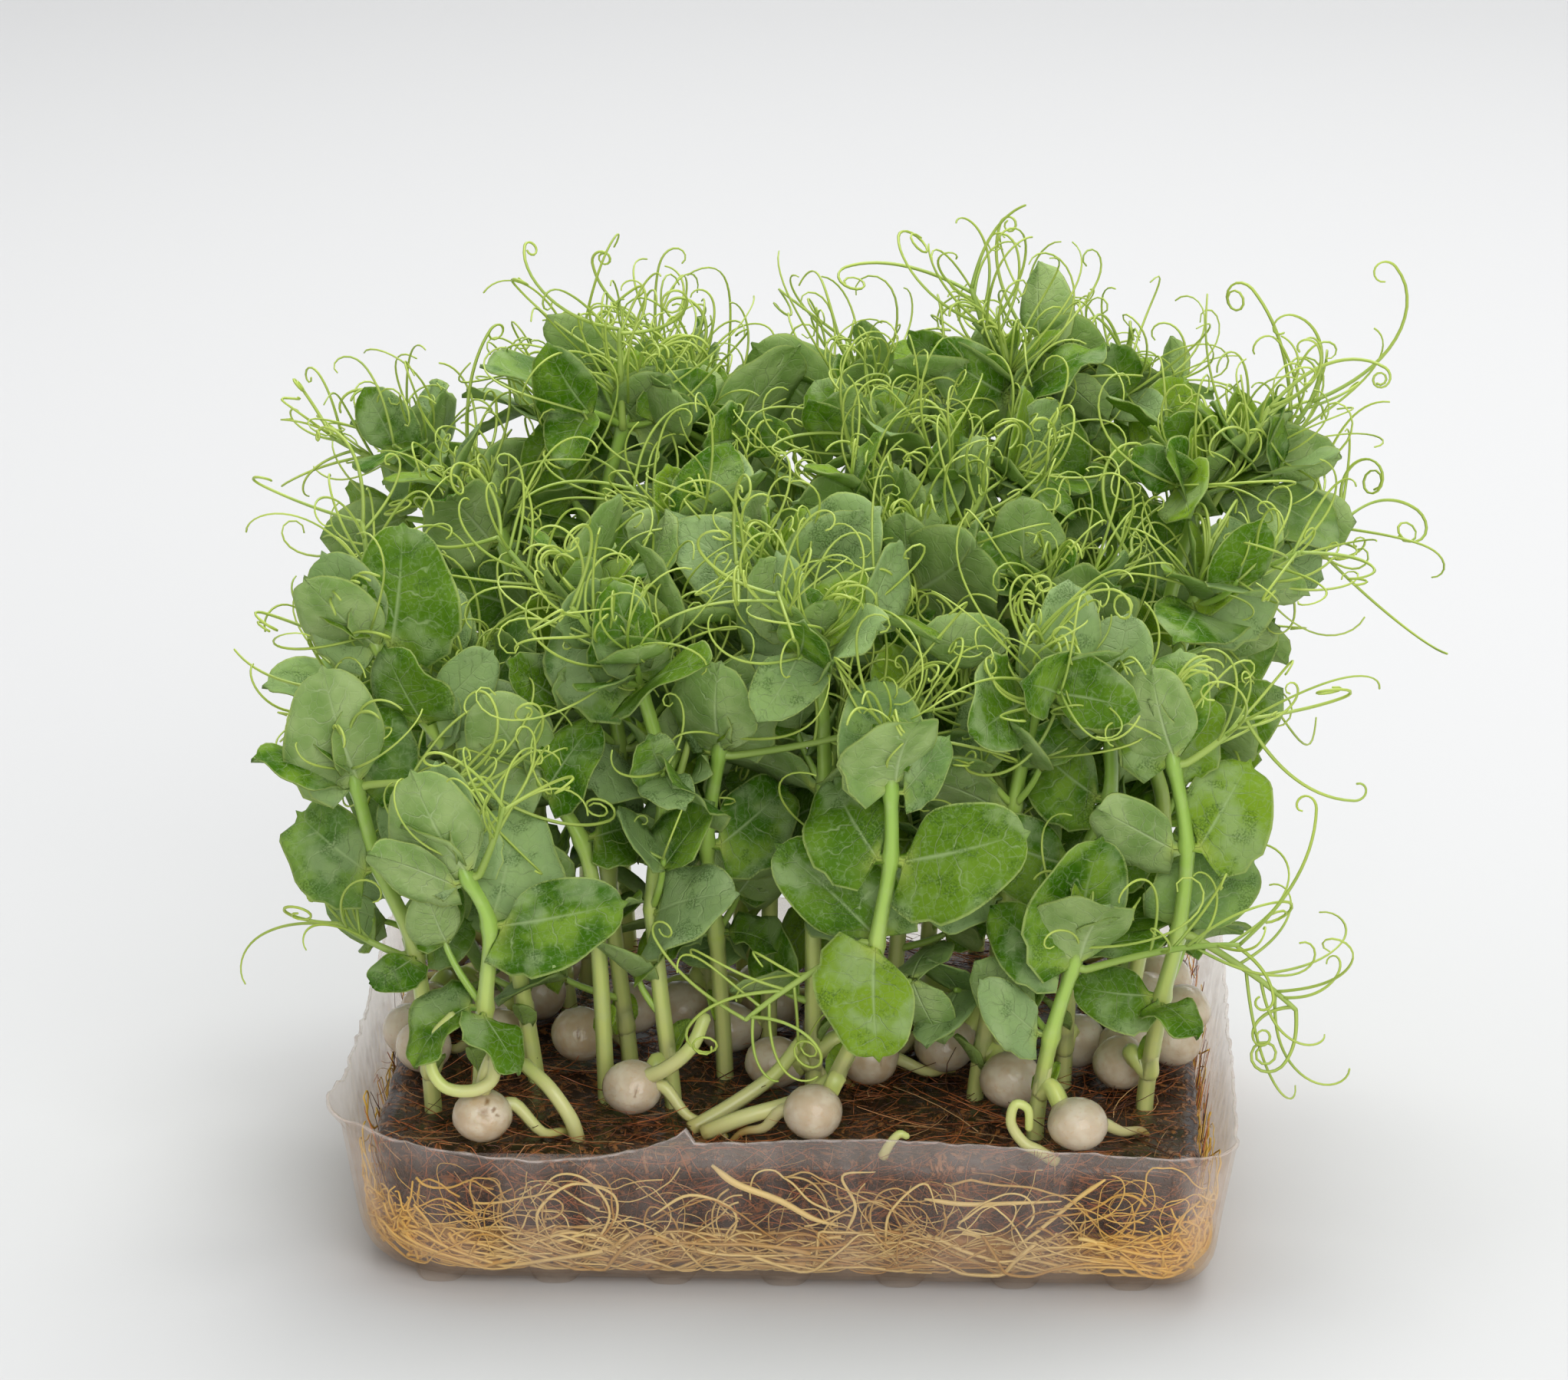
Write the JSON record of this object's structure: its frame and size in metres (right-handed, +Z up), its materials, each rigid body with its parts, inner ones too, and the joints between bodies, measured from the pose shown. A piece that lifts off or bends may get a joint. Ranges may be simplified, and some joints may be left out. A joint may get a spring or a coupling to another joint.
{
  "type": "pea shoot microgreens tray",
  "caption": "Thin clear plastic punnet holding a coir mat, a mat of roots, sprouted pea seeds and a dense stand of young pea shoots with broad leaves and branched curling tendrils.",
  "frame": {"origin": "on the surface that the tray stands on, under the middle of the tray, at the middle foot's underside", "axes": "+X to the right along the tray's long side, +Y to the back, +Z up"},
  "size_m": [0.1796, 0.1348, 0.1411],
  "materials": {
    "tray": "thin clear plastic, slightly frosted and wet inside",
    "coir": "wet dark brown fibre mat",
    "roots": "moist pale root strands, satin",
    "seeds": "moist seed coat, satin",
    "shoots": "fresh leaf with a dull waxy bloom, satin"
  },
  "bodies": {
    "root": {"tray": "tray", "root_mat": "roots", "coir_mat": "coir", "seeds_01": "seeds", "seeds_02": "seeds", "seeds_03": "seeds", "seeds_04": "seeds", "seeds_05": "seeds", "seeds_06": "seeds", "seeds_07": "seeds", "seeds_08": "seeds", "seeds_09": "seeds", "seeds_10": "seeds", "seeds_11": "seeds", "seeds_12": "seeds", "seeds_13": "seeds", "seeds_14": "seeds", "seeds_15": "seeds", "seeds_16": "seeds", "seeds_17": "seeds", "seeds_18": "seeds", "seeds_19": "seeds", "seeds_20": "seeds", "shoot_01": "shoots", "shoot_02": "shoots", "shoot_03": "shoots", "shoot_04": "shoots", "shoot_05": "shoots", "shoot_06": "shoots", "shoot_07": "shoots", "shoot_08": "shoots", "shoot_09": "shoots", "shoot_10": "shoots", "shoot_11": "shoots", "shoot_12": "shoots", "shoot_13": "shoots", "shoot_14": "shoots", "shoot_15": "shoots", "shoot_16": "shoots", "shoot_17": "shoots", "shoot_18": "shoots", "shoot_19": "shoots", "shoot_20": "shoots", "shoot_21": "shoots", "shoot_22": "shoots", "shoot_23": "shoots", "shoot_24": "shoots", "shoot_25": "shoots", "shoot_26": "shoots", "shoot_27": "shoots", "shoot_28": "shoots", "shoot_29": "shoots", "shoot_30": "shoots", "shoot_31": "shoots", "shoot_32": "shoots", "shoot_33": "shoots", "shoot_34": "shoots", "shoot_35": "shoots"}
  },
  "joints": []
}
